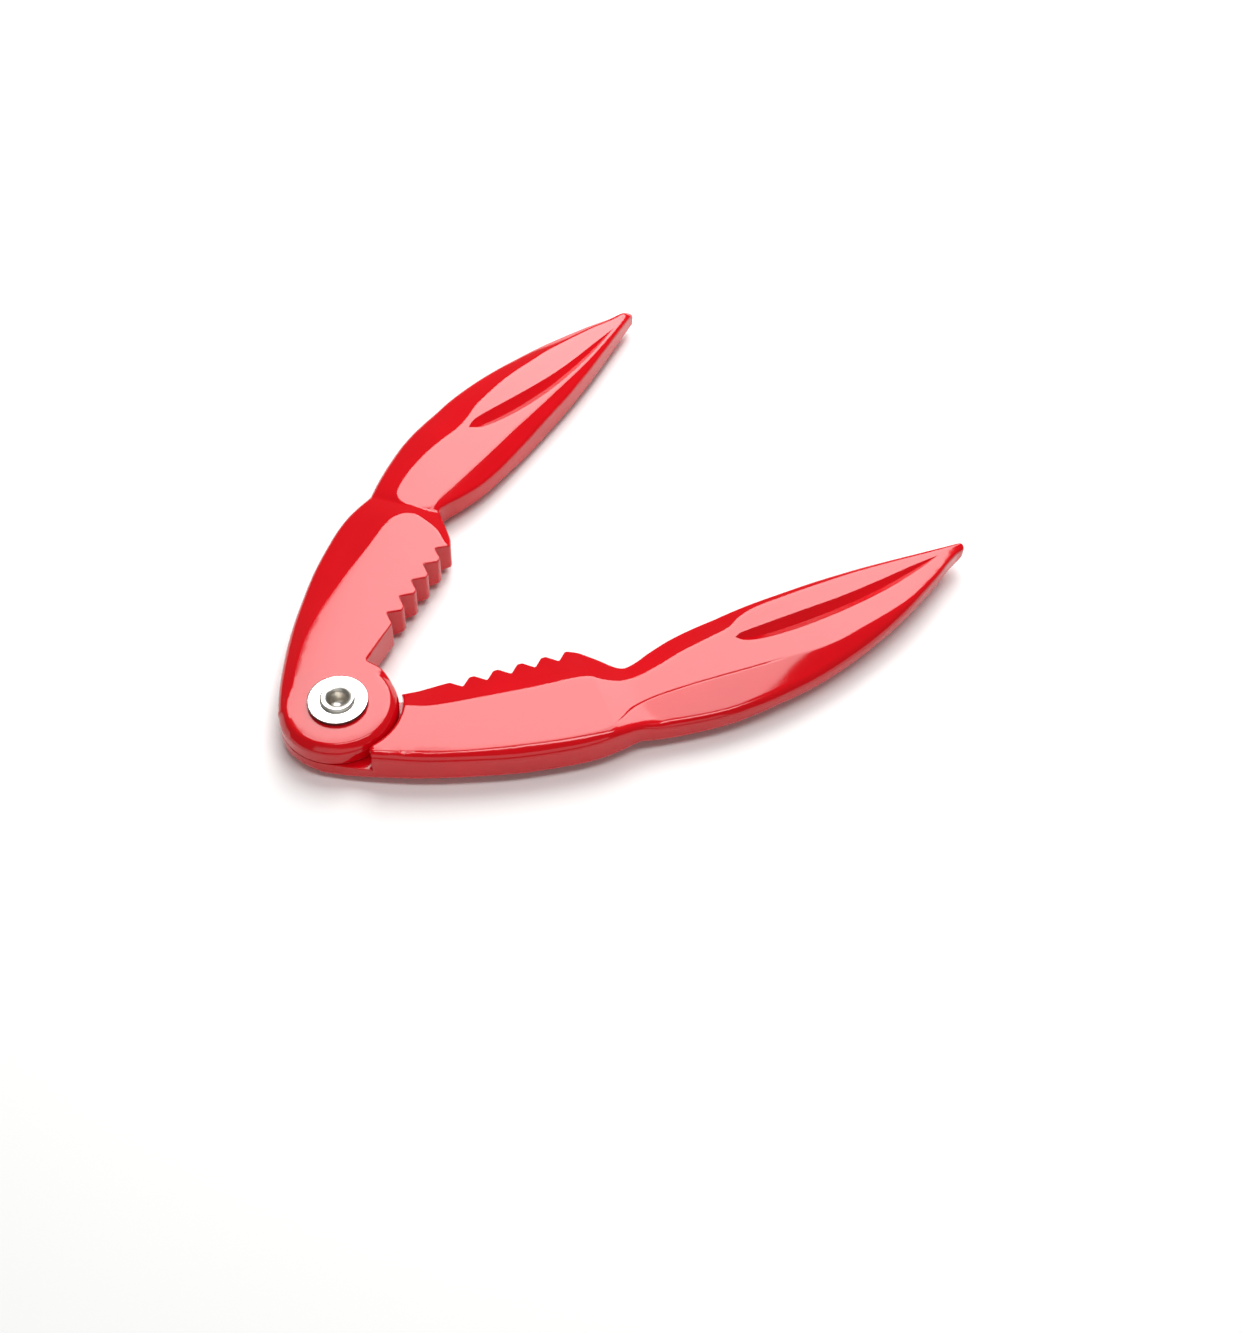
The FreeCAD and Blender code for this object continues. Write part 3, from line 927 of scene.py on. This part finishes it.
# ---- pieces ----
turn_lower = Matrix.Rotation(math.radians(LOWER_ARM_ANGLE), 4, "Z")
turn_upper = Matrix.Rotation(math.radians(UPPER_ARM_ANGLE), 4, "Z") @ Matrix.Rotation(math.pi, 4, "X")
faces = casting_faces()
lower = bored(faces, True).object("lower_arm_enamelled", turn_lower)
upper = bored(faces, False).object("upper_arm_enamelled", turn_upper)
washer = turned("washer_turned", washer_profile(), TURNED_SIDES)
rivet = turned("rivet_rolled", rivet_profile(), TURNED_SIDES)

for piece, body, cad_node, look, slot in [
        (lower, "lower_body", "lower_arm", red, "enamel"),
        (upper, "upper_body", "upper_arm", red, "enamel"),
        (washer, "lower_body", "rivet_washer", nickel, "washer_steel"),
        (rivet, "lower_body", "pivot_rivet", steel, "rivet_steel")]:
    piece.data.materials.append(look)
    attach(piece, body)
    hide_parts(cad_node)

# The washer's outer wall gets a near-black metal: painted shade for the dark crescent of shadow round its
# side
washer.data.materials.append(painted_shade_wall)
for face in washer.data.polygons:
    upright = abs(face.normal.z) < 0.5
    if upright and face.center.xy.length > FACE_RING_RADIUS * MM:
        face.material_index = 1

# ---- floor ----
FLOOR_SIZE = 4.0
FLOOR_GAP = 0.00002
floor_mesh = bpy.data.meshes.new("floor")
reach = FLOOR_SIZE / 2
floor_mesh.from_pydata([(-reach, -reach, 0), (reach, -reach, 0), (reach, reach, 0), (-reach, reach, 0)],
                       [], [(0, 1, 2, 3)])
floor = bpy.data.objects.new("floor", floor_mesh)
bpy.context.collection.objects.link(floor)
floor.location.z = cad_low.z - FLOOR_GAP
paper, _, _, _ = material("pale_floor", (0.92, 0.92, 0.91), 0.0, 0.9)
floor_mesh.materials.append(paper)

# ---- camera: it looks at a point of the resting surface ----
ELEVATION = math.radians(50.484)
ROLL = math.radians(2.680)
DISTANCE = 412.42
TARGET = Vector((65.155, 23.535, 0.0))
FOCAL_LENGTH = 45.37
forward = Vector((0, math.cos(ELEVATION), -math.sin(ELEVATION)))
across = Vector((1, 0, 0))
upward = across.cross(forward)
side = math.cos(ROLL) * across + math.sin(ROLL) * upward
top = math.cos(ROLL) * upward - math.sin(ROLL) * across
camera_data = bpy.data.cameras.new("camera")
camera_data.lens = FOCAL_LENGTH
camera_data.sensor_width = 36.0
camera_data.clip_start = 0.01
camera_data.clip_end = 20
camera = bpy.data.objects.new("camera", camera_data)
bpy.context.collection.objects.link(camera)
pose = Matrix((side, top, -forward)).transposed().to_4x4()
pose.translation = (TARGET - DISTANCE * forward) * MM
camera.matrix_world = pose
bpy.context.scene.camera = camera


# ---- light ----
BOX_HEIGHT = 0.6
FILL_SIZE = (2.0, 0.6)
FILL_RADIANCE = 1.0
WORLD_STRENGTH = 0.14


def softbox(name, place, aim, size, power):
    """Rectangular light that faces its aim."""
    data = bpy.data.lights.new(name, "AREA")
    data.shape = "RECTANGLE"
    data.size, data.size_y = size
    data.energy = power
    lamp = bpy.data.objects.new(name, data)
    lamp.location = place
    lamp.rotation_mode = "QUATERNION"
    lamp.rotation_quaternion = (Vector(aim) - Vector(place)).to_track_quat("-Z", "Y")
    bpy.context.collection.objects.link(lamp)
    return lamp


def overhead(name, centre, size, yaw, radiance):
    """Level softbox over the floor, with the radiance that its face should have."""
    power = radiance * size[0] * size[1] * math.pi
    lamp = softbox(name, (*centre, BOX_HEIGHT), (*centre, 0), size, power)
    lamp.rotation_quaternion = Matrix.Rotation(math.radians(yaw), 4, "Z").to_quaternion()
    return lamp


overhead("main_softbox", (0.139, 0.764), (0.50, 0.78), -10.5, 6.8)
overhead("main_front_softbox", (0.046, 0.266), (0.50, 0.235), -10.5, 5.2)
overhead("strip_softbox", (0.15, -0.085), (0.50, 0.12), 0.0, 8.0)
softbox("front_fill", (0.1, -1.2, 0.55), (0.1, 0, 0.55), FILL_SIZE,
        FILL_RADIANCE * FILL_SIZE[0] * FILL_SIZE[1] * math.pi)

world = bpy.data.worlds.new("studio")
world.use_nodes = True
world.node_tree.nodes["Background"].inputs["Color"].default_value = (1, 1, 1, 1)
world.node_tree.nodes["Background"].inputs["Strength"].default_value = WORLD_STRENGTH
bpy.context.scene.world = world
bpy.context.scene.view_settings.view_transform = "Standard"
